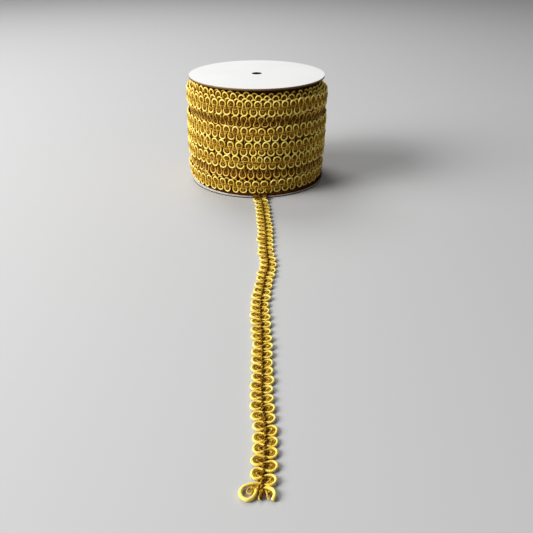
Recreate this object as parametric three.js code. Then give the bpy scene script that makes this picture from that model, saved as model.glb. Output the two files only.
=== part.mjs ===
import * as THREE from "three";

// Gold scroll braid wound on a small spool with two card discs. Millimetres, +Z up. The spool stands on
// z = 0 with its axis on Z, and the braid's loose end runs off towards -Y.

// Driving dimensions, in mm.
const topRadius = 31.8; // top disc
const footRadius = 32.3; // bottom disc
const discThickness = 0.9;
const footOffset = -0.9; // how far off the axis the bottom disc is glued, along Y
const spoolHeight = 49.5;
const holeRadius = 2.4;
const gap = 0.3; // clearance between neighbouring pieces
const braidWidth = 7.1;
const braidThickness = 0.8;
const rowCrown = 0.5; // how far a row's middle stands out past its edges
const tuckDepth = 8; // how far in from the rim the lowest row leaves room for the braid's end
const aroundDisc = 96; // segments round a disc
const aroundRoll = 44; // segments round the roll
const alongEnd = 64; // steps along the loose end

// The wound rows as they show, from the bottom up: where each one's band starts and its outer radius.
const rows = [
  { name: "lowest", bottom: 2.3, radius: 32.9 },
  { name: "sunkLow", bottom: 8.6, radius: 32.3 },
  { name: "third", bottom: 13.3, radius: 33.3 },
  { name: "fourth", bottom: 19.9, radius: 33.4 },
  { name: "fifth", bottom: 26.6, radius: 33.4 },
  { name: "sunkHigh", bottom: 33.3, radius: 32.8 },
  { name: "proud", bottom: 37.9, radius: 33.4 },
  { name: "topmost", bottom: 45.0, radius: 32.4 },
];

// The loose end's centre line: from under the lowest row, over the bottom disc's rim and along the table.
const onDisc = discThickness + gap + braidThickness / 2;
const onTable = braidThickness / 2 + 0.05;
const endRoute = [
  { x: 0.9, y: -25.0, z: onDisc },
  { x: 1.1, y: -29.0, z: onDisc },
  { x: 1.5, y: -34.1, z: onDisc - 0.05 },
  { x: 2.0, y: -38.1, z: 0.85 },
  { x: 2.5, y: -41.9, z: onTable + 0.07 },
  { x: 3.3, y: -54.0, z: onTable },
  { x: 4.1, y: -70.0, z: onTable },
  { x: 4.3, y: -86.0, z: onTable },
  { x: 5.1, y: -100.0, z: onTable },
  { x: 3.9, y: -111.0, z: onTable },
  { x: 2.6, y: -127.0, z: onTable },
  { x: 2.7, y: -137.0, z: onTable },
  { x: 3.2, y: -150.0, z: onTable },
  { x: 3.4, y: -165.0, z: onTable },
  { x: 3.3, y: -176.0, z: onTable },
  { x: 4.2, y: -190.0, z: onTable },
  { x: 4.1, y: -200.0, z: onTable },
  { x: 3.4, y: -209.5, z: onTable },
];

const cardWhite = new THREE.MeshStandardMaterial({ color: 0xf0f0ee, roughness: 0.7, metalness: 0 });
const braidGold = new THREE.MeshStandardMaterial({ color: 0xb8932f, roughness: 0.55, metalness: 0 });

function namedMesh(name, geometry, material) {
  const mesh = new THREE.Mesh(geometry, material);
  mesh.name = name;
  return mesh;
}

// A ring turned about Z: a closed outline of [radius, height] points, listed anticlockwise.
// LatheGeometry turns its outline about Y, so the ring is stood up onto Z afterwards.
function turnedRing(outline, segments) {
  const points = outline.map(([radius, height]) => new THREE.Vector2(radius, height));
  return new THREE.LatheGeometry([...points, points[0].clone()], segments).rotateX(Math.PI / 2);
}

// A card disc from its lower face up, its centre off the axis by offset along Y.
function cardDisc(name, radius, bottom, offset) {
  const top = bottom + discThickness;
  const outline = [
    [holeRadius, bottom],
    [radius, bottom],
    [radius, top],
    [holeRadius, top],
  ];
  return namedMesh(name, turnedRing(outline, aroundDisc).translate(0, offset, 0), cardWhite);
}

// The roll's outline: up the outside row by row, each row crowned by rowCrown, then down the spindle hole.
// Its foot is stepped up near the rim, where the braid's end is tucked under the lowest row.
function woundRoll() {
  const foot = discThickness + gap;
  const head = spoolHeight - discThickness - gap;
  const outline = [
    [holeRadius, foot],
    [footRadius - tuckDepth, foot],
    [footRadius - tuckDepth, rows[0].bottom],
  ];
  rows.forEach((row, index) => {
    const rowTop = index + 1 < rows.length ? rows[index + 1].bottom : head;
    const height = rowTop - row.bottom;
    outline.push([row.radius - rowCrown, row.bottom + 0.04 * height]);
    outline.push([row.radius, row.bottom + 0.28 * height]);
    outline.push([row.radius, row.bottom + 0.72 * height]);
    outline.push([row.radius - rowCrown, row.bottom + 0.96 * height]);
  });
  outline.push([topRadius - 1.3, head]);
  outline.push([holeRadius, head]);
  return namedMesh("braid_roll", turnedRing(outline, aroundRoll), braidGold);
}

// A smooth route whose section never rolls: one side of the section stays level all along.
class LevelRoute extends THREE.CatmullRomCurve3 {
  computeFrenetFrames(segments) {
    const up = new THREE.Vector3(0, 0, 1);
    const tangents = [];
    const normals = [];
    const binormals = [];
    for (let step = 0; step <= segments; step++) {
      const tangent = this.getTangentAt(step / segments);
      const side = new THREE.Vector3().crossVectors(up, tangent).normalize();
      tangents.push(tangent);
      normals.push(side);
      binormals.push(new THREE.Vector3().crossVectors(tangent, side));
    }
    return { tangents, normals, binormals };
  }
}

// The loose end: a flat section with eased edges, drawn along its route.
function looseEnd() {
  const halfWidth = braidWidth / 2;
  const halfThickness = braidThickness / 2;
  const ease = halfThickness / 2;
  const corners = [
    [halfWidth, -ease],
    [halfWidth, ease],
    [halfWidth - ease, halfThickness],
    [ease - halfWidth, halfThickness],
    [-halfWidth, ease],
    [-halfWidth, -ease],
    [ease - halfWidth, -halfThickness],
    [halfWidth - ease, -halfThickness],
  ];
  const section = new THREE.Shape(corners.map(([across, rise]) => new THREE.Vector2(across, rise)));
  const route = new LevelRoute(endRoute.map(({ x, y, z }) => new THREE.Vector3(x, y, z)));
  const strip = new THREE.ExtrudeGeometry(section, { steps: alongEnd, extrudePath: route });
  return namedMesh("braid_end", strip, braidGold);
}

const group = new THREE.Group();
group.add(cardDisc("disc_bottom", footRadius, 0, footOffset));
group.add(cardDisc("disc_top", topRadius, spoolHeight - discThickness, 0));
group.add(woundRoll());
group.add(looseEnd());

export default group;
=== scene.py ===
# Gold scroll braid wound on a small spool with card discs, its loose end laid out in front.
# Settings are in millimetres. Meshes are made in metres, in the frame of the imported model:
# the spool's axis is on Z, the table is z = 0 and the loose end runs towards -Y.

import bpy
import math
import numpy as np
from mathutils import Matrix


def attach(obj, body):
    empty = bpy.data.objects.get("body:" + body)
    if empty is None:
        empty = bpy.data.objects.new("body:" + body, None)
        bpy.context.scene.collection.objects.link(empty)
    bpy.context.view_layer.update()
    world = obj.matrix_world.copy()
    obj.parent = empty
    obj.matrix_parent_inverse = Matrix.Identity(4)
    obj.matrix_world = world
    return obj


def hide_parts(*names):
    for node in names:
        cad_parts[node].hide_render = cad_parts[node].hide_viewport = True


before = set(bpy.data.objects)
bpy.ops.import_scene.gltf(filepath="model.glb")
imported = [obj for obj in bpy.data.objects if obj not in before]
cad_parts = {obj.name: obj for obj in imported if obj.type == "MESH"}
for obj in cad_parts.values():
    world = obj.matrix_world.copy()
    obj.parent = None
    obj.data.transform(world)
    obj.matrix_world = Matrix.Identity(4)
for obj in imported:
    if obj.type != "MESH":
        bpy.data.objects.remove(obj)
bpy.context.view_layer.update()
mm = 0.001


def linearColour(hexColour):
    # sRGB hex to linear RGBA: the usual sRGB curve, channel by channel
    channels = [int(hexColour[i:i + 2], 16) / 255 for i in (1, 3, 5)]
    curve = [c / 12.92 if c <= 0.04045 else ((c + 0.055) / 1.055) ** 2.4 for c in channels]
    return (*curve, 1.0)


def addNode(tree, kind, settings=None, inputs=None):
    # One shader node with its settings. An input is a plain value, or another node's output to link.
    node = tree.nodes.new(kind)
    for key, value in (settings or {}).items():
        setattr(node, key, value)
    for key, value in (inputs or {}).items():
        if isinstance(value, bpy.types.NodeSocket):
            tree.links.new(value, node.inputs[key])
        else:
            node.inputs[key].default_value = value
    return node


def newMaterial(name):
    material = bpy.data.materials.new(name)
    material.use_nodes = True
    tree = material.node_tree
    tree.nodes.clear()
    return material, tree


def finishMaterial(tree, inputs):
    shader = addNode(tree, "ShaderNodeBsdfPrincipled", inputs=inputs)
    addNode(tree, "ShaderNodeOutputMaterial", inputs={"Surface": shader.outputs["BSDF"]})
    return shader


def colourSteps(tree, factor, steps):
    # a colour ramp from a list of (position, hex colour)
    ramp = addNode(tree, "ShaderNodeValToRGB", inputs={"Fac": factor})
    elements = ramp.color_ramp.elements
    while len(elements) < len(steps):
        elements.new(0.5)
    for element, (position, hexColour) in zip(elements, steps):
        element.position = position
        element.color = linearColour(hexColour)
    return ramp.outputs["Color"]


def unit(vectors):
    return vectors / np.linalg.norm(vectors, axis=-1, keepdims=True)


def smoothStep(x):
    # 0 up to 0, 1 from 1 on, and 3x^2 - 2x^3 between
    x = np.clip(x, 0, 1)
    return x * x * (3 - 2 * x)


def meshOfStrands(name, strands, sides, material, tone=0.5):
    # Round strands in one mesh. A strand is (centre line in metres, up directions, radius in metres).
    # tone, for each centre point, is painted light and shade: 1 is painted bright, 0 painted shade.
    # Each centre point gets a ring: point + radius (side cos a + lift sin a), side = tangent x up.
    # The UV map holds turns round the strand and millimetres along it.
    angle = 2 * np.pi * np.arange(sides) / sides
    verts, corners, sizes, uvs, first = [], [], [], [], 0
    for centre, up, radius in strands:
        count = len(centre)
        tangent = unit(np.gradient(centre, axis=0))
        side = unit(np.cross(tangent, up))
        lift = np.cross(side, tangent)
        spread = np.cos(angle)[None, :, None] * side[:, None] + np.sin(angle)[None, :, None] * lift[:, None]
        radii = np.broadcast_to(np.asarray(radius, float), (count,))
        verts.append((centre[:, None] + radii[:, None, None] * spread).reshape(-1, 3))
        steps = np.linalg.norm(np.diff(centre, axis=0), axis=1)
        length = np.concatenate([[0], np.cumsum(steps)]) / mm
        row, column = np.meshgrid(np.arange(count - 1), np.arange(sides), indexing="ij")
        cornerRow = np.stack([row, row + 1, row + 1, row], -1).reshape(-1, 4)
        cornerColumn = np.stack([column, column, column + 1, column + 1], -1).reshape(-1, 4)
        corners.append((first + cornerRow * sides + cornerColumn % sides).ravel())
        sizes.append(np.full(len(cornerRow), 4))
        uvs.append(np.stack([cornerColumn / sides, length[cornerRow]], -1).reshape(-1, 2))
        for ring, order in ((0, np.arange(sides)), (count - 1, np.arange(sides)[::-1])):
            corners.append(first + ring * sides + order)
            sizes.append(np.array([sides]))
            uvs.append(np.stack([order / sides, np.full(sides, length[ring])], -1))
        first += count * sides
    piece = makeMesh(name, np.concatenate(verts), np.concatenate(corners), np.concatenate(sizes),
                     np.concatenate(uvs), material)
    setTone(piece, np.repeat(np.broadcast_to(tone, (first // sides,)), sides))
    return piece


def setTone(piece, tones):
    # painted light and shade, stored at each point for the strand materials
    painted_shading = piece.data.attributes.new("painted_shading", "FLOAT", "POINT")
    painted_shading.data.foreach_set("value", tones.astype(np.float32))


def makeMesh(name, verts, corners, sizes, uvs, material):
    # flat arrays to a smooth mesh object: vertices, face corners, corners per face and a UV for each corner
    mesh = bpy.data.meshes.new(name)
    mesh.vertices.add(len(verts))
    mesh.vertices.foreach_set("co", np.ascontiguousarray(verts, np.float32).ravel())
    mesh.loops.add(len(corners))
    mesh.loops.foreach_set("vertex_index", corners.astype(np.int32))
    mesh.polygons.add(len(sizes))
    starts = np.concatenate([[0], np.cumsum(sizes)[:-1]])
    mesh.polygons.foreach_set("loop_start", starts.astype(np.int32))
    mesh.polygons.foreach_set("use_smooth", np.ones(len(sizes), bool))
    mesh.update(calc_edges=True)
    mesh.validate()
    layer = mesh.uv_layers.new(name="strand")
    layer.data.foreach_set("uv", np.ascontiguousarray(uvs, np.float32).ravel())
    mesh.materials.append(material)
    piece = bpy.data.objects.new(name, mesh)
    bpy.context.scene.collection.objects.link(piece)
    return piece


camera = dict(
    place=(4.55, -317.1, 114.7),
    pitch=62.11,  # degrees up from looking straight down
    lens=44.71,
)


def makeCamera():
    data = bpy.data.cameras.new("camera")
    data.lens = camera["lens"]
    data.sensor_width = 36
    data.clip_start = 0.01
    viewer = bpy.data.objects.new("camera", data)
    viewer.location = [value * mm for value in camera["place"]]
    viewer.rotation_euler = (math.radians(camera["pitch"]), 0, 0)
    bpy.context.scene.collection.objects.link(viewer)
    bpy.context.scene.camera = viewer


makeCamera()
print("camera set")


def strandMaterial(name, colours, patch, plyPitch, plies, depth, roughness, gloss, sheen):
    # colours: ramp from dark to bright yarn, by noise + painted light and shade - 0.5: the noise is random
    # tone, the rest is painted. patch: size of the colour changes, mm. plyPitch: mm along the strand between
    # two ridges of its wrap or twist, and depth: height of a ridge, mm. A ridge is sin(2 pi (plies turns +
    # length / plyPitch)).
    material, tree = newMaterial(name)
    place = addNode(tree, "ShaderNodeTexCoord")
    mottle = addNode(tree, "ShaderNodeTexNoise", inputs={
        "Vector": place.outputs["Object"], "Scale": 1 / (patch * mm), "Detail": 3.0, "Roughness": 0.6})
    # painted light and shade from the mesh moves each point along the colour ramp
    painted_shading = addNode(tree, "ShaderNodeAttribute", {"attribute_name": "painted_shading"})
    brightness = addNode(tree, "ShaderNodeMath", {"operation": "ADD"},
                         {0: mottle.outputs["Fac"], 1: painted_shading.outputs["Fac"]})
    even = addNode(tree, "ShaderNodeMath", {"operation": "SUBTRACT"}, {0: brightness.outputs[0], 1: 0.5})
    colour = colourSteps(tree, even.outputs[0], colours)
    strand = addNode(tree, "ShaderNodeSeparateXYZ", inputs={"Vector": place.outputs["UV"]})
    turns = addNode(tree, "ShaderNodeMath", {"operation": "MULTIPLY"},
                    {0: strand.outputs["X"], 1: float(plies)})
    rise = addNode(tree, "ShaderNodeMath", {"operation": "MULTIPLY_ADD"},
                   {0: strand.outputs["Y"], 1: 1 / plyPitch, 2: turns.outputs[0]})
    phase = addNode(tree, "ShaderNodeMath", {"operation": "MULTIPLY"}, {0: rise.outputs[0], 1: 2 * math.pi})
    ridge = addNode(tree, "ShaderNodeMath", {"operation": "SINE"}, {0: phase.outputs[0]})
    bump = addNode(tree, "ShaderNodeBump", inputs={
        "Height": ridge.outputs[0], "Distance": depth * mm, "Strength": 0.6})
    finishMaterial(tree, {
        "Base Color": colour, "Roughness": roughness, "Normal": bump.outputs["Normal"],
        "Specular IOR Level": gloss, "Sheen Weight": sheen, "Sheen Roughness": 0.4,
        "Sheen Tint": linearColour(colours[-1][1])})
    return material


wrapped = dict(plyPitch=0.25, plies=1, depth=0.03)  # viscose wound closely round a core
twisted = dict(plyPitch=0.5, plies=2, depth=0.05)  # two plies of viscose
spun = dict(plyPitch=0.45, plies=2, depth=0.05)  # two plies of cotton

# Viscose gimp: fine gold viscose wound round a cotton core. It has a silky gloss and close wrap ridges.
# Its darker steps are reached only where painted shade lowers the tone.
gimpGold = strandMaterial(
    "viscose_gimp_gold", [(0.0, "#3a2004"), (0.08, "#a2640c"), (0.36, "#f6d44e"), (0.8, "#fcea88")],
    patch=2.5, roughness=0.45, gloss=0.3, sheen=0.1, **wrapped)
# Painted shade: the same gimp, darker, for the layer below, which lies deeper between the outer rows.
gimpShaded = strandMaterial(
    "viscose_gimp_painted_shade", [(0.0, "#90600c"), (0.36, "#dcb444"), (0.8, "#f4d66e")],
    patch=2.5, roughness=0.5, gloss=0.3, sheen=0.0, **wrapped)
# Tan viscose yarn, twisted and thinner than the gimp: beside the middle on the roll, and in the small rings
# and the frayed threads of the loose end.
threadTie = strandMaterial(
    "twisted_viscose_tan", [(0.35, "#966a0f"), (0.65, "#e4be4c")],
    patch=0.9, roughness=0.55, gloss=0.2, sheen=0.0, **twisted)
# Twisted two-ply viscose thread, dull amber: a small warm ring inside each loop on the roll.
threadAmber = strandMaterial(
    "twisted_viscose_amber", [(0.35, "#7c5208"), (0.65, "#b88c2c")],
    patch=0.8, roughness=0.6, gloss=0.2, sheen=0.0, **twisted)
# Twisted cotton thread, dark brown and matte, that fills the loops and sets off their edges. Partly painted
# shade: it is darker than its lit copy below, for the shade deep in the roll's loops.
threadBrown = strandMaterial(
    "twisted_cotton_brown", [(0.4, "#623805"), (0.65, "#8a540e")],
    patch=0.9, roughness=0.85, gloss=0.03, sheen=0.0, **spun)
# Painted light: a lighter copy of the same cotton for the loose end, which lies open to the light; it is
# also more olive.
threadBrownLit = strandMaterial(
    "twisted_cotton_brown_painted_lit", [(0.4, "#7c5c0a"), (0.65, "#b8921f")],
    patch=0.9, roughness=0.85, gloss=0.03, sheen=0.0, **spun)
# Brown cotton and gimp packed behind the layers that show, close: its brown is deepened by painted shade,
# darkest next to the discs, in their shadow.
packedBraid = strandMaterial(
    "packed_cotton_brown_painted_shade", [(0.1, "#341a02"), (0.45, "#80480a"), (0.65, "#a4680f")],
    patch=0.9, roughness=0.9, gloss=0.03, sheen=0.0, **spun)
# Brown cotton plied with a few lighter fibres, which fleck it: the cord along the middle.
threadChain = strandMaterial(
    "plied_cotton_dark_brown", [(0.42, "#5e3e02"), (0.54, "#8e660c"), (0.62, "#d0a836")],
    patch=0.5, roughness=0.8, gloss=0.1, sheen=0.0, **spun)


card = dict(
    fibre=0.5,  # size of the fibres, mm
    cloud=18,  # size of the faint patches on the face, mm
    holeReach=5,  # the cut edge nearer the axis than this is the spindle hole's, mm
)


def cardMaterial(name, foot, plies):
    # Coated white card, die cut: a smooth matte face and faint fibres. The cut edge is a ramp by height over
    # the disc's foot, both in mm: partly its plies, partly painted shade low on the edge. In the spindle
    # hole, it is painted dark.
    material, tree = newMaterial(name)
    place = addNode(tree, "ShaderNodeTexCoord")
    fibre = addNode(tree, "ShaderNodeTexNoise", inputs={
        "Vector": place.outputs["Object"], "Scale": 1 / (card["fibre"] * mm), "Detail": 4.0})
    cloud = addNode(tree, "ShaderNodeTexNoise", inputs={
        "Vector": place.outputs["Object"], "Scale": 1 / (card["cloud"] * mm), "Detail": 2.0})
    face = colourSteps(tree, cloud.outputs["Fac"], [(0.3, "#d9d9d8"), (0.7, "#dddddc")])
    facing = addNode(tree, "ShaderNodeNewGeometry")
    lie = addNode(tree, "ShaderNodeSeparateXYZ", inputs={"Vector": facing.outputs["True Normal"]})
    height = addNode(tree, "ShaderNodeSeparateXYZ", inputs={"Vector": place.outputs["Object"]})
    inMm = addNode(tree, "ShaderNodeMath", {"operation": "DIVIDE"}, {0: height.outputs["Z"], 1: mm})
    edgeHeight = addNode(tree, "ShaderNodeMath", {"operation": "SUBTRACT"}, {0: inMm.outputs[0], 1: foot})
    # painted shade with the plies: darkest low on the cut edge
    rim = colourSteps(tree, edgeHeight.outputs[0], plies)
    across = addNode(tree, "ShaderNodeVectorMath", {"operation": "MULTIPLY"},
                     {0: place.outputs["Object"], 1: (1, 1, 0)})
    away = addNode(tree, "ShaderNodeVectorMath", {"operation": "LENGTH"}, {0: across.outputs[0]})
    outside = addNode(tree, "ShaderNodeMath", {"operation": "GREATER_THAN"},
                      {0: away.outputs["Value"], 1: card["holeReach"] * mm})
    # painted shade: the cut edge in the spindle hole is painted near black, for the dark hole
    edge = addNode(tree, "ShaderNodeMix", {"data_type": "RGBA"}, {
        "Factor": outside.outputs[0], "A": linearColour("#1c140c"), "B": rim})
    flatness = addNode(tree, "ShaderNodeMath", {"operation": "ABSOLUTE"}, {0: lie.outputs["Z"]})
    colour = addNode(tree, "ShaderNodeMix", {"data_type": "RGBA"}, {
        "Factor": flatness.outputs[0], "A": edge.outputs["Result"], "B": face})
    bump = addNode(tree, "ShaderNodeBump", inputs={
        "Height": fibre.outputs["Fac"], "Distance": 0.01 * mm, "Strength": 0.4})
    finishMaterial(tree, {"Base Color": colour.outputs["Result"], "Roughness": 0.6,
                          "Normal": bump.outputs["Normal"]})
    return material


# The braid's own shape, flat: millimetres along it, across it and above its middle plane.

braid = dict(
    brownReach=2.36,  # from the middle to the centre line at a loop's top
    brownRadius=0.32,
    brownBulb=0.08,
    brownDip=0.35,  # how far the thread sinks at the middle
    amberReach=1.8,
    amberRadius=0.21,
    amberBulb=-0.02,
    amberDip=0.5,
    chainRadius=0.23,  # each strand of the dark plied cord along the middle
    chainStart=0.6,  # angle of its first strand at the start
    chainStray=0.09,
    chainSeed=3,
    backReach=1.2,  # yarns of the binding on the underside, one under each line of loops
    backRadius=0.25,
    backSway=0.25,
    backLevel=-0.25,
    tieRadius=0.17,  # the yarn on each side of the chain, that closes each loop's ring
    tieOffset=0.5,
    tieSway=0.14,
    tieStray=0.1,
    tieSeed=7,
    tieLift=0.34,
    shadeFrom=0.6,  # share of (across / reach)^2 at which the gold is neither painted bright nor painted shade
)
# How much the loops differ from one another, before wander: swell as a share of the pitch, the rest in mm
loopStray = dict(bulb=0.014, along=0.12, across=0.09, above=0.06)

# Wound on the roll, the loops draw in to rings with small gaps between. Lying loose, they spread till
# they touch. pitch: one repeat, mm. bulb: how far a loop swells past its own neck, and square: how flat
# its sides are, both as a share of the pitch. dip: how far the gold cord sinks at the middle. chainLevel
# and chainWave: height of the chain above the middle plane, and how much it dips at each gold crossing.
# chainSwing: how far its strands are from its own middle. brownLevel and amberLevel: height of those
# threads. skew: how far the right-hand loops are pulled back and the left-hand ones forward, mm. wander:
# how much the loops' places, lengths and heights vary. middleShade: how much painted shade darkens the gold
# at the middle.
tight = dict(pitch=3.98, reach=3.03, bulb=0.2, square=-0.02, skew=0, dip=0.18, goldRadius=0.32,
             chainLevel=-0.1, chainWave=0.3, chainSwing=0.19, brownLevel=-0.12, amberLevel=0.12,
             wander=1.55, middleShade=0.46)
loose = dict(pitch=4.07, reach=2.9, bulb=0.235, square=-0.015, skew=0.4, dip=0.12, goldRadius=0.35,
             chainLevel=0.15, chainWave=0.2, chainSwing=0.3, brownLevel=0.0, amberLevel=0.2,
             wander=1.5, middleShade=0.25)
# One place on the roll where the loops were pushed together: repeats from the start, pull, and spread.
bunch = dict(repeat=83.4, pull=0.5, spread=1.1)


def loopNoise(phase, amount, seed):
    # One random value for each loop, two loops to a pitch, joined smoothly from loop to loop.
    # The seed is fixed, so each run gives the same braid.
    spare = 3  # loops past each end
    loops = int(np.ceil(phase.max() * 2)) + 2 * spare
    values = np.random.default_rng(seed).normal(0, amount, loops)
    position = phase * 2 + spare
    low = np.clip(np.floor(position).astype(int), 0, loops - 2)
    return values[low] + (values[low + 1] - values[low]) * smoothStep(position - low)


def scroll(phase, lay, reach, bulb, seed):
    # A meander: along = pitch (p + bulb sin 4 pi p + square sin 8 pi p) - skew cos 2 pi p, across =
    # reach cos 2 pi p, p counting repeats. Each loop is a little wider, longer or further on than the next.
    wander = lay["wander"]
    swell = (bulb + loopNoise(phase, loopStray["bulb"] * wander, seed)) * np.sin(4 * np.pi * phase)
    swell += lay["square"] * np.sin(8 * np.pi * phase)
    side = np.cos(2 * np.pi * phase)
    along = lay["pitch"] * (phase + swell) - lay["skew"] * side
    along = along + loopNoise(phase, loopStray["along"] * wander, seed + 1)
    return along, (reach + loopNoise(phase, loopStray["across"] * wander, seed + 2)) * side


def goldCord(phase, lay, seed):
    # level at the loops, and sunk by dip (1 - (across / reach)^2)^2 where it crosses the middle
    along, across = scroll(phase, lay, lay["reach"], lay["bulb"], seed)
    sink = lay["dip"] * np.clip(1 - (across / lay["reach"]) ** 2, 0, 1) ** 2
    return along, across, loopNoise(phase, loopStray["above"] * lay["wander"], seed + 3) - sink


def innerThread(phase, lay, part, seed):
    # a smaller scroll inside the gold one, at its level less dip (sin 2 pi p)^2, so lowest at the middle
    along, across = scroll(phase, lay, braid[part + "Reach"], braid[part + "Bulb"], seed)
    return along, across, lay[part + "Level"] - braid[part + "Dip"] * np.sin(2 * np.pi * phase) ** 2


def chainStrand(phase, lay, turn):
    # One of two strands twisted round each other, two twists to a repeat: a helix along the middle. The
    # pair rides at chainLevel + chainWave cos 4 pi p, which is lowest at the gold cord's crossings.
    spin = 4 * np.pi * phase + turn
    swing = lay["chainSwing"]
    level = lay["chainLevel"] + lay["chainWave"] * np.cos(4 * np.pi * phase)
    across = swing * np.cos(spin) + loopNoise(phase, braid["chainStray"], braid["chainSeed"])
    return lay["pitch"] * phase, across, level + swing * np.sin(spin)


def tieYarn(phase, lay, side):
    # A yarn that runs beside the chain: over the middle of each loop on its own side, where cos 2 pi p
    # is 1 on the right and -1 on the left, and under the legs between.
    wave = side * np.cos(2 * np.pi * phase)
    across = side * (braid["tieOffset"] + braid["tieSway"] * wave)
    across = across + loopNoise(phase, braid["tieStray"], braid["tieSeed"])
    return lay["pitch"] * phase - lay["skew"] * side, across, braid["tieLift"] * wave


def backYarn(phase, lay, side):
    # level along the underside, swaying by backSway sin 2 pi p
    across = side * braid["backReach"] + braid["backSway"] * np.sin(2 * np.pi * phase)
    return lay["pitch"] * phase, across, np.full(len(phase), braid["backLevel"])


def layStrands(place, lay, phases, seed, part, sides, material, name, shadeDepth=0):
    # One part of the braid laid by place, which turns (along, across, above) into points and up directions.
    # phases: how far and how finely it is followed, in repeats. The last argument is painted shade: how much
    # darker it is there.
    radius = lay["goldRadius"] if part == "gold" else braid[part + "Radius"]
    if part == "gold":
        shapes = [goldCord(phases, lay, seed)]
    elif part in ("brown", "amber"):
        shapes = [innerThread(phases, lay, part, seed)]
    elif part == "back":
        shapes = [backYarn(phases, lay, side) for side in (-1, 1)]
    elif part == "chain":
        shapes = [chainStrand(phases, lay, braid["chainStart"] + turn) for turn in (0, math.pi)]
    else:
        shapes = [tieYarn(phases, lay, side) for side in (-1, 1)]
    strands = [(*place(*shape), radius * mm) for shape in shapes]
    # painted shade: darker by the given amount
    tone = np.full(len(phases), 0.5) - shadeDepth
    # the gold cord also gets painted light at its loops and painted shade across the middle
    if part == "gold":
        tone = tone + paintedLoopShading(shapes[0][1], lay)
    return meshOfStrands(name, strands, sides, material, np.tile(tone, len(strands)))


def paintedLoopShading(across, lay):
    # Painted light and shade on the gold cord: painted bright at its loops and painted shade where it sinks
    # across the middle, by the lay's middle shade times ((across / reach)^2 - the braid's shade start)
    return lay["middleShade"] * (np.clip((across / lay["reach"]) ** 2, 0, 1) - braid["shadeFrom"])


# The wound roll.

winding = dict(
    ramp=0.3,  # share of a turn, centred on the back, in which a row climbs to the next
    spread=32.6,  # radius at which the braid's own length is counted
    slip=0.7,  # how far the soft roll leans over to the left between its head and its foot
    slipLevel=0.75,  # share of its height at which it is still on the axis
    waver=((0.18, 2.3), (0.14, 5.7)),  # how a row strays up and down: mm, and waves to a turn
    bulge=((0.1, 3.1), (0.06, 7.9)),  # and in and out
)

# Rows from the outside in, as the braid would unwind: height of the middle, radius of the cord's face,
# the share of its full width that the row keeps where its neighbours squeeze it, tilt: how far its upper
# edge leans out, mm for each mm across, sway: how far the row rises at the left and sinks at the right,
# and paintedShade: painted shade, how much darker it is where it lies recessed, most under the top disc
outerRows = [
    dict(row="lowest", height=5.1, radius=32.7, width=1.0, tilt=0.15, sway=0.1, paintedShade=0),
    dict(row="third", height=16.5, radius=33.3, width=0.97, tilt=0.0, sway=0.4, paintedShade=0),
    dict(row="fourth", height=23.1, radius=33.4, width=1.0, tilt=0.0, sway=0.6, paintedShade=0),
    dict(row="fifth", height=29.9, radius=33.4, width=0.99, tilt=0.0, sway=0.5, paintedShade=0),
    dict(row="proud", height=41.1, radius=33.4, width=1.05, tilt=0.0, sway=0.4, paintedShade=0),
    dict(row="behindProud", height=41.6, radius=32.2, width=1.05, tilt=0.0, sway=0.5, paintedShade=0.08),
    dict(row="topmost", height=43.5, radius=31.1, width=1.0, tilt=0.0, sway=1.3, paintedShade=0.1),
    dict(row="underDisc", height=44.0, radius=29.8, width=1.0, tilt=0.0, sway=0.9, paintedShade=0.3),
]
underRows = [
    dict(row="hiddenFoot", height=5.2, radius=31.3, width=1.0, tilt=0.0, sway=0.1, paintedShade=0.08),
    dict(row="sunkLow", height=12.0, radius=32.2, width=1.0, tilt=-0.12, sway=0.3, paintedShade=0.11),
    dict(row="hiddenThird", height=18.6, radius=31.4, width=1.0, tilt=0.0, sway=0.4, paintedShade=0.08),
    dict(row="hiddenFourth", height=25.0, radius=31.6, width=1.0, tilt=0.0, sway=0.6, paintedShade=0.08),
    dict(row="sunkHigh", height=35.0, radius=32.5, width=0.87, tilt=0.22, sway=0.5, paintedShade=0.11),
    dict(row="hiddenHead", height=40.0, radius=31.0, width=1.0, tilt=0.0, sway=0.4, paintedShade=0.08),
]


def stepped(turn, rows, column):
    # Level along each row, with a smooth step to the next row's value round each whole turn.
    values = np.array([row[column] for row in rows])
    nearest = np.clip(np.round(turn).astype(int), 1, len(values) - 1)
    share = smoothStep((turn - nearest) / winding["ramp"] + 0.5)
    return values[nearest - 1] + (values[nearest] - values[nearest - 1]) * share


def ripple(waves, angle, phases):
    # the sum of size sin(number angle + phase) over the waves
    return sum(size * np.sin(number * angle + phase) for (size, number), phase in zip(waves, phases))


def onRoll(rows, startTurn, seed, along, across, above):
    # Flat braid to the roll. turn = startTurn + along / circumference, counted from the back.
    # The point is radius + above out from the axis, and across is laid square to the row's climb.
    circumference = 2 * np.pi * winding["spread"]
    turn = startTurn + along / circumference
    phases = np.random.default_rng(seed).uniform(0, 2 * np.pi, 4)
    wave = 2 * np.pi * turn
    waver = ripple(winding["waver"], wave, phases[:2])
    bulge = ripple(winding["bulge"], wave, phases[2:])
    height = stepped(turn, rows, "height") + stepped(turn, rows, "sway") * np.sin(wave) + waver
    across = across * stepped(turn, rows, "width")
    radius = stepped(turn, rows, "radius") - tight["goldRadius"] + bulge + above
    radius = radius + across * stepped(turn, rows, "tilt")
    near = 0.002  # of a turn
    rise = stepped(turn + near, rows, "height") - stepped(turn - near, rows, "height")
    climb = np.arctan(rise / (2 * near * circumference))
    angle = np.pi / 2 + wave - across * np.sin(climb) / winding["spread"]
    lift = height + across * np.cos(climb)
    slip = winding["slip"] * (lift / drum["head"] - winding["slipLevel"])
    points = np.stack([radius * np.cos(angle) + slip, radius * np.sin(angle), lift], -1)
    outward = np.stack([np.cos(angle), np.sin(angle), np.zeros_like(angle)], -1)
    return points * mm, outward


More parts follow.
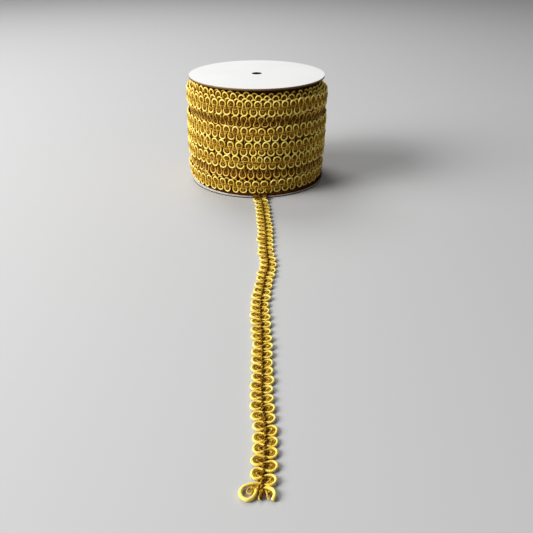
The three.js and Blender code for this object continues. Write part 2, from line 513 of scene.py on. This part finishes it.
# Which rows show which parts, with the steps per repeat and the sides of each strand
outerParts = [
    ("gold", 28, 8, gimpGold),
    ("brown", 16, 5, threadBrown),
    ("amber", 16, 5, threadAmber),
    ("chain", 12, 5, threadChain),
    ("tie", 10, 5, threadTie),
]
underParts = [
    ("gold", 22, 7, gimpShaded),
    ("brown", 12, 5, threadBrown),
    ("amber", 12, 4, threadAmber),
    ("chain", 10, 4, threadChain),
]


# The two layers: the turns they run from and to, and the seeds of their rows' waver and of their loops
rollLayers = [
    dict(layer="outer", rows=outerRows, parts=outerParts, first=-0.12, last=7.9, rowSeed=5, loopSeed=55),
    dict(layer="under", rows=underRows, parts=underParts, first=0.1, last=6.0, rowSeed=9, loopSeed=99),
]


def bunched(along):
    # Loops drawn towards one point: each moves by -pull pitch tanh(x) exp(-x^2 / 4), where x is how
    # many spreads away it is.
    x = (along / tight["pitch"] - bunch["repeat"]) / bunch["spread"]
    return along - bunch["pull"] * tight["pitch"] * np.tanh(x) * np.exp(-x ** 2 / 4)


def makeRoll():
    pieces = [rollDrum()]
    for wound in rollLayers:
        layer, rows, first = wound["layer"], wound["rows"], wound["first"]

        def place(along, across, above):
            along = bunched(along) if layer == "outer" else along
            return onRoll(rows, first, wound["rowSeed"], along, across, above)

        repeats = (wound["last"] - first) * 2 * np.pi * winding["spread"] / tight["pitch"]
        for part, steps, sides, material in wound["parts"]:
            phases = np.linspace(0, repeats, int(repeats * steps))
            turn = first + phases * tight["pitch"] / (2 * np.pi * winding["spread"])
            # painted shade for the rows that lie recessed, deepest under the top disc
            shadeDepth = stepped(turn, rows, "paintedShade")
            pieces.append(layStrands(place, tight, phases, wound["loopSeed"], part, sides, material,
                                     f"roll_{layer}_{part}", shadeDepth))
    return pieces


drum = dict(
    around=180,  # points round it, and up it
    up=60,
    hole=5.0,
    foot=1.0,
    head=48.2,
    radius=28.9,
    fuller=1.3,  # how much fuller it is between the rows next to the discs
    bodyFrom=6,
    bodyTo=42,
    bodyEase=3,
    ridge=0.2,
    rowPitch=7.1,
    flare=3.2,  # how far it stands out just above the bottom disc
    flareFront=0.9,  # how much more towards the loose end, where the disc sticks out
    flareOpen=1.2,  # and how much less on the left, where the disc's face shows
    flareTo=3.6,
    flareEase=1.6,
    toneInDiscShadow=0.1,  # painted shade: how bright it is next to the discs, in their shadow
    toneOutOfShadow=0.4,  # and how much brighter it is between, away from their shadow
    uvAround=200,  # mm round the drum
    uvAcross=0.8,  # mm to each step up
)


def rollDrum():
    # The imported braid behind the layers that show: a ring from foot to head, closed down its spindle hole.
    # Its radius is radius + fuller body + ridge cos(2 pi height / rowPitch) + flare, where body rises to 1
    # away from the discs, and flare is foot flare - open on the left + front at the loose end.
    around = drum["around"]
    height = np.linspace(drum["foot"], drum["head"], drum["up"])
    angle = 2 * np.pi * np.arange(around) / around
    flare = drum["flare"] - drum["flareOpen"] * np.maximum(-np.cos(angle), 0)
    flare = flare + drum["flareFront"] * np.maximum(-np.sin(angle), 0)
    body = smoothStep((height - drum["bodyFrom"]) / drum["bodyEase"])
    body = body * smoothStep((drum["bodyTo"] - height) / drum["bodyEase"])
    ridges = drum["ridge"] * np.cos(2 * np.pi * height / drum["rowPitch"])
    radius = drum["radius"] + drum["fuller"] * body + ridges
    radius = radius + flare[:, None] * smoothStep((drum["flareTo"] - height) / drum["flareEase"])
    radius = np.pad(radius, ((0, 0), (1, 1)), constant_values=drum["hole"])
    height = np.pad(height, 1, mode="edge")
    verts = np.stack([np.cos(angle)[:, None] * radius, np.sin(angle)[:, None] * radius,
                      np.broadcast_to(height, radius.shape)], -1).reshape(-1, 3) * mm
    row, column = np.meshgrid(np.arange(around), np.arange(len(height)), indexing="ij")
    cornerRow = np.stack([row, row + 1, row + 1, row], -1).reshape(-1, 4)
    cornerColumn = np.stack([column, column, column + 1, column + 1], -1).reshape(-1, 4)
    corners = (cornerRow % around) * len(height) + cornerColumn % len(height)
    uvs = np.stack([cornerRow / around * drum["uvAround"], cornerColumn * drum["uvAcross"]], -1)
    piece = makeMesh("roll_packed_braid", verts, corners.ravel(), np.full(len(cornerRow), 4),
                     uvs.reshape(-1, 2), packedBraid)
    # painted shade: darkest next to the discs, lighter between them
    setTone(piece, np.tile(np.pad(drum["toneInDiscShadow"] + drum["toneOutOfShadow"] * body, 1), around))
    return piece


# The loose end.

onDisc = 1.6  # height of the strip's middle on the bottom disc
onTable = 0.45
endRoute = [
    (0.9, -25.0, onDisc),
    (1.1, -29.0, onDisc),
    (1.5, -34.1, onDisc - 0.05),
    (2.0, -38.1, 0.85),
    (2.5, -41.9, onTable + 0.07),
    (3.3, -54.0, onTable),
    (4.1, -70.0, onTable),
    (4.3, -86.0, onTable),
    (5.1, -100.0, onTable),
    (3.9, -111.0, onTable),
    (2.6, -127.0, onTable),
    (2.7, -137.0, onTable),
    (3.2, -150.0, onTable),
    (3.4, -165.0, onTable),
    (3.3, -176.0, onTable),
    (4.2, -190.0, onTable),
    (4.1, -200.0, onTable),
    (3.4, -209.5, onTable),
]


spanPoints = 40  # points of a curve between two of its knots, before they are spaced evenly


def smoothRoute(points, count):
    # Catmull-Rom through the points, then spaced evenly by length
    points = np.asarray(points, float)
    knots = np.vstack([2 * points[0] - points[1], points, 2 * points[-1] - points[-2]])
    spans = len(points) - 1
    position = np.linspace(0, spans - 1e-6, spans * spanPoints)
    span = position.astype(int)
    t = (position - span)[:, None]
    a, b, c, d = (knots[span + i] for i in range(4))
    curve = 0.5 * (2 * b + (c - a) * t + (2 * a - 5 * b + 4 * c - d) * t ** 2
                   + (3 * b - a - 3 * c + d) * t ** 3)
    length = np.concatenate([[0], np.cumsum(np.linalg.norm(np.diff(curve, axis=0), axis=1))])
    even = np.linspace(0, length[-1], count)
    return np.stack([np.interp(even, length, curve[:, axis]) for axis in range(3)], -1), length[-1]


looseEnd = dict(
    routePoints=586,
    pathEvery=13,  # which of those points the cord's path takes
    lift=0.12,  # the binding on the underside holds the cord's middle clear of the table
    tucked=-0.15,  # and it is pressed flat under the lowest row
    easeFrom=7,  # between these distances along, mm, it comes up to that lift
    easeTo=15,
    tuckedShadow=0.9,  # painted shadow: it is darker there, in the lowest row's shadow, up to the first distance and none from the second on
    shadowTo=10.8,
    shadowEnd=12.0,
    lastWhole=181.35,  # distance along the route of the last whole loop, on the right
    lastRepeat=44,
    leaves=0.2,  # repeats past that loop, where the gold cord leaves the scroll
    freedRadius=0.46,  # the gimp's wrap has slackened where it is cut
    slackPoints=30,  # points over which it slackens
    goldSteps=44,  # to a repeat
    goldSides=12,
    freedPoints=90,
    frayPoints=30,
    fraySides=8,
    seed=51,
)
routeLine, routeLength = smoothRoute(endRoute, looseEnd["routePoints"])

# The freed end of the gold cord, flat: along, across, above. From the last crossing it makes a big loose
# ring on the left that closes on itself, goes back under the middle and bends down on the right, cut off.
freedCord = [
    (182.7, 0.2, -0.25),
    (182.5, -0.8, -0.1),
    (182.8, -2.0, 0.1),
    (183.2, -3.1, 0.1),
    (184.0, -4.2, 0.05),
    (185.4, -4.7, 0.0),
    (186.8, -4.25, 0.0),
    (187.5, -3.1, 0.0),
    (187.0, -2.0, 0.0),
    (186.0, -1.4, 0.0),
    (185.0, -1.2, -0.05),
    (184.1, -1.1, -0.2),
    (183.7, -0.2, -0.3),
    (183.7, 0.8, -0.1),
    (183.9, 1.8, 0.15),
    (184.5, 2.7, 0.15),
    (185.7, 3.05, 0.05),
    (187.1, 2.7, -0.05),
]
# A broken thread that curls inside that ring, and the ends of the binding that splay past it
frayedThreads = dict(
    curl=[(184.4, -0.9, 0.1), (184.0, -1.9, 0.15), (184.3, -2.9, 0.1),
          (185.3, -3.2, 0.0), (185.9, -2.5, 0.1), (185.2, -1.9, 0.3)],
    splay=[(184.6, 0.2, 0.3), (185.6, 0.1, 0.35), (186.6, -0.4, 0.2), (187.3, -0.2, 0.0)],
    stub=[(184.6, 0.9, 0.2), (185.5, 1.3, 0.3), (186.4, 1.5, 0.1), (187.1, 1.9, 0.0)],
)


# Each part with its frayed end in repeats past the last whole loop, the steps per repeat, the sides of
# its strands and its material
endParts = [
    ("brown", 1.08, 30, 8, threadBrownLit),
    ("amber", 1.0, 30, 8, threadTie),
    ("chain", 1.38, 24, 8, threadChain),
    ("tie", 1.2, 20, 6, threadBrown),
    ("back", 0.9, 8, 8, threadBrownLit),
]


def onRoute(along, across, above):
    # Flat braid to the route: a point of the centre line + across sideways + above upwards, carried
    # straight on past the line's ends. The side is level, so the strip never rolls over.
    station = along / routeLength * (len(routeLine) - 1)
    low = np.clip(station.astype(int), 0, len(routeLine) - 2)
    share = (station - low)[:, None]
    centre = routeLine[low] * (1 - share) + routeLine[low + 1] * share
    heading = unit(np.gradient(routeLine, axis=0))[low]
    side = unit(np.cross([0, 0, 1.0], heading))
    up = np.cross(heading, side)
    eased = smoothStep((along - looseEnd["easeFrom"]) / (looseEnd["easeTo"] - looseEnd["easeFrom"]))
    lift = looseEnd["tucked"] + (looseEnd["lift"] - looseEnd["tucked"]) * eased
    points = centre + side * across[:, None] + up * (above + lift)[:, None]
    return points * mm, up


def shadowUnderRoll(along):
    # painted shadow under the roll: how much darker the braid is, along it, full up to the first set
    # distance and easing to none at the second
    out = (along - looseEnd["shadowTo"]) / (looseEnd["shadowEnd"] - looseEnd["shadowTo"])
    return looseEnd["tuckedShadow"] * (1 - smoothStep(out))


def makeLooseEnd():
    start = looseEnd["lastWhole"] - looseEnd["lastRepeat"] * loose["pitch"]
    last = looseEnd["lastRepeat"]
    leaves = last + looseEnd["leaves"]
    seed = looseEnd["seed"]

    def place(along, across, above):
        return onRoute(along + start, across, above)

    phases = np.linspace(0, leaves, int(leaves * looseEnd["goldSteps"]))
    along, across, above = goldCord(phases, loose, seed)
    freed = smoothRoute(freedCord, looseEnd["freedPoints"])[0]
    flat = np.concatenate([np.stack([along + start, across, above], -1), freed])
    slack = smoothStep((np.arange(len(flat)) - len(phases)) / looseEnd["slackPoints"])
    radius = loose["goldRadius"] + (looseEnd["freedRadius"] - loose["goldRadius"]) * slack
    # painted light and shade: bright loops, a shaded middle, and the painted shadow under the roll
    tone = 0.5 + paintedLoopShading(flat[:, 1], loose) - shadowUnderRoll(flat[:, 0])
    pieces = [meshOfStrands("end_gold", [(*onRoute(*flat.T), radius * mm)], looseEnd["goldSides"],
                            gimpGold, tone)]
    for part, fray, steps, sides, material in endParts:
        phases = np.linspace(0, last + fray, int(last * steps))
        # the same painted shadow under the roll for the other parts
        shadeDepth = shadowUnderRoll(start + phases * loose["pitch"])
        pieces.append(layStrands(place, loose, phases, seed, part, sides, material, "end_" + part, shadeDepth))
    threads = [smoothRoute(points, looseEnd["frayPoints"])[0] for points in frayedThreads.values()]
    strands = [(*onRoute(*thread.T), braid["chainRadius"] * mm) for thread in threads]
    pieces.append(meshOfStrands("end_frayed", strands, looseEnd["fraySides"], threadTie))
    return pieces


endPieces = makeLooseEnd()
for piece in endPieces:
    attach(piece, "root")
    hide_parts("braid_end")
print("loose end made,", round(routeLength, 1), "mm long")

for piece in makeRoll():
    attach(piece, "root")
    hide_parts("braid_roll")
print("roll wound")

# Each cut edge's ramp by height is partly the card's plies, partly painted shade: the bottom disc's dark
# lower part stands for the contact shadow under its rim, and the top disc's dark brown edge is partly
# painted shade.
discs = dict(
    disc_top=dict(foot=48.6, plies=[(0.4, "#4e3510"), (0.8, "#a5814c")]),
    disc_bottom=dict(foot=0.0, plies=[(0.38, "#2e2216"), (0.46, "#a89c8c")]),
)
for node, look in discs.items():
    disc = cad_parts[node]
    disc.data.materials.clear()
    disc.data.materials.append(cardMaterial("coated_card_" + node, **look))
print("card discs finished")

stage = dict(
    floorColour="#b6b6b6",
    floorHalf=3000,
    floorDrop=0.05,  # how far it lies under the table plane, clear of what stands there
    aim=(0, -60, 10),
    keyPlace=(-720, -400, 450),
    keySize=500,
    keyPower=7.7,
    sidePlace=(-800, -180, 520),
    sideSize=600,
    sidePower=6.6,
    backPlace=(-250, 500, 700),
    backSize=500,
    backPower=4.0,
    worldStrength=0.18,
)


def makeFloor():
    mesh = bpy.data.meshes.new("floor")
    half, low = stage["floorHalf"] * mm, -stage["floorDrop"] * mm
    corners = [(-half, -half, low), (half, -half, low), (half, half, low), (-half, half, low)]
    mesh.from_pydata(corners, [], [(0, 1, 2, 3)])
    material, tree = newMaterial("matte_paper_floor")
    finishMaterial(tree, {"Base Color": linearColour(stage["floorColour"]), "Roughness": 0.9})
    mesh.materials.append(material)
    floor = bpy.data.objects.new("floor", mesh)
    bpy.context.scene.collection.objects.link(floor)


def makeLamp(name, place, size, power):
    data = bpy.data.lights.new(name, "AREA")
    data.shape = "DISK"
    data.size = size * mm
    data.energy = power
    lamp = bpy.data.objects.new(name, data)
    lamp.location = [value * mm for value in place]
    direction = np.subtract(stage["aim"], place)
    pitch = math.atan2(math.hypot(direction[0], direction[1]), -direction[2])
    lamp.rotation_euler = (pitch, 0, math.atan2(direction[1], direction[0]) - math.pi / 2)
    bpy.context.scene.collection.objects.link(lamp)


makeFloor()
for lamp in ("key", "side", "back"):
    makeLamp(lamp + "_lamp", stage[lamp + "Place"], stage[lamp + "Size"], stage[lamp + "Power"])
world = bpy.data.worlds.new("studio")
world.use_nodes = True
background = world.node_tree.nodes["Background"]
background.inputs["Color"].default_value = (1, 1, 1, 1)
background.inputs["Strength"].default_value = stage["worldStrength"]
bpy.context.scene.world = world
bpy.context.scene.view_settings.view_transform = "Standard"
